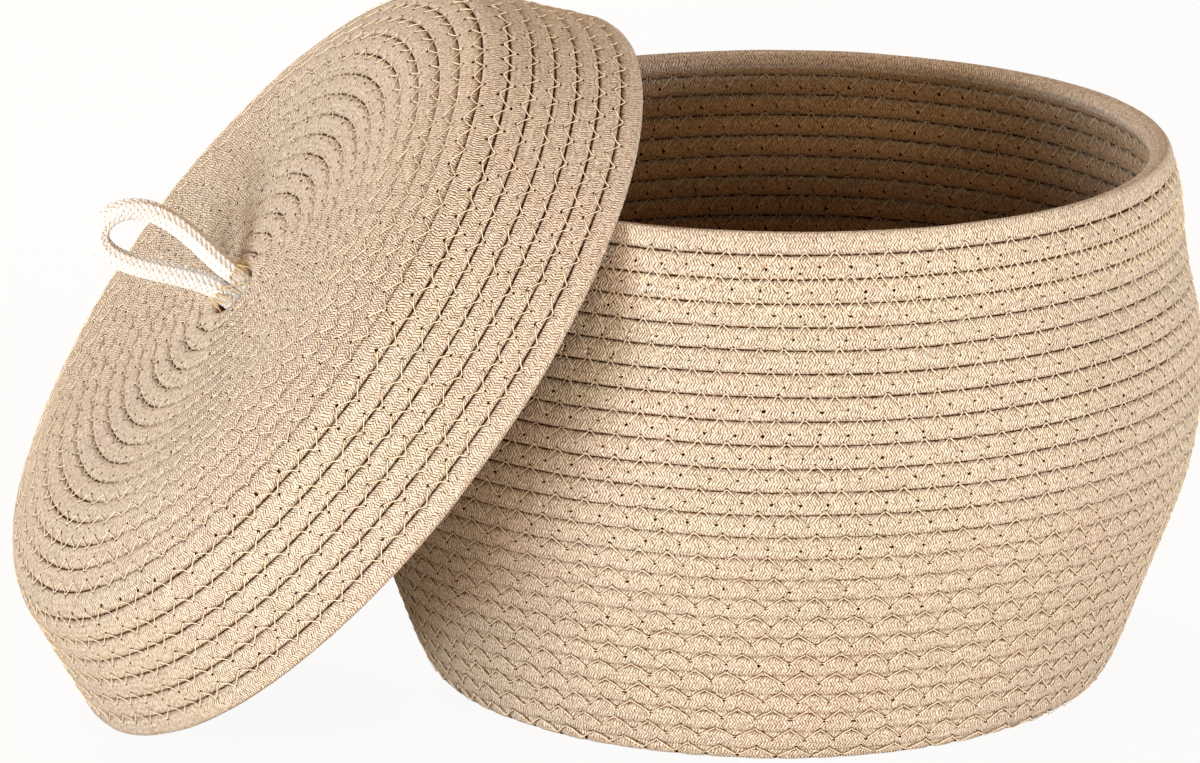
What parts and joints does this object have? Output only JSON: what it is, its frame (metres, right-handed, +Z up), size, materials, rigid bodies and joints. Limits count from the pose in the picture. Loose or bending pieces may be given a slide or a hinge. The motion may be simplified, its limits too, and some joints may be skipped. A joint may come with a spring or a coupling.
{
  "type": "lidded rope basket",
  "caption": "Round bulged storage basket of coiled cotton rope, with a rope-coil lid leaning against its side and a white cord carrying loop on the lid.",
  "frame": {"origin": "middle of the basket's flat underside, on the surface it stands on", "axes": "+Z up out of the basket's mouth, -Y towards the viewer, the lid leaning on the -X side"},
  "size_m": [0.5196, 0.4264, 0.3094],
  "materials": {
    "tan_cotton_rope": "matt braided cotton",
    "cream_cotton_cord": "matt braided cotton"
  },
  "bodies": {
    "basket": {"basket_coil": "tan_cotton_rope"},
    "lid": {"lid_coil": "tan_cotton_rope", "handle_knot": "cream_cotton_cord"},
    "handle": {"handle_loop": "cream_cotton_cord"}
  },
  "joints": [
    {"name": "lid_lift", "type": "slide", "parent": "basket", "child": "lid", "axis": [0, 0, 1], "range_m": [0, 0.26]},
    {"name": "handle_fold", "type": "hinge", "parent": "lid", "child": "handle", "pos_m": [-0.23655, -0.07189, 0.19128], "axis": [0.5925, 0.1721, 0.7869], "range_deg": [-70, 70], "stiffness_Nm_per_rad": 0.02}
  ]
}
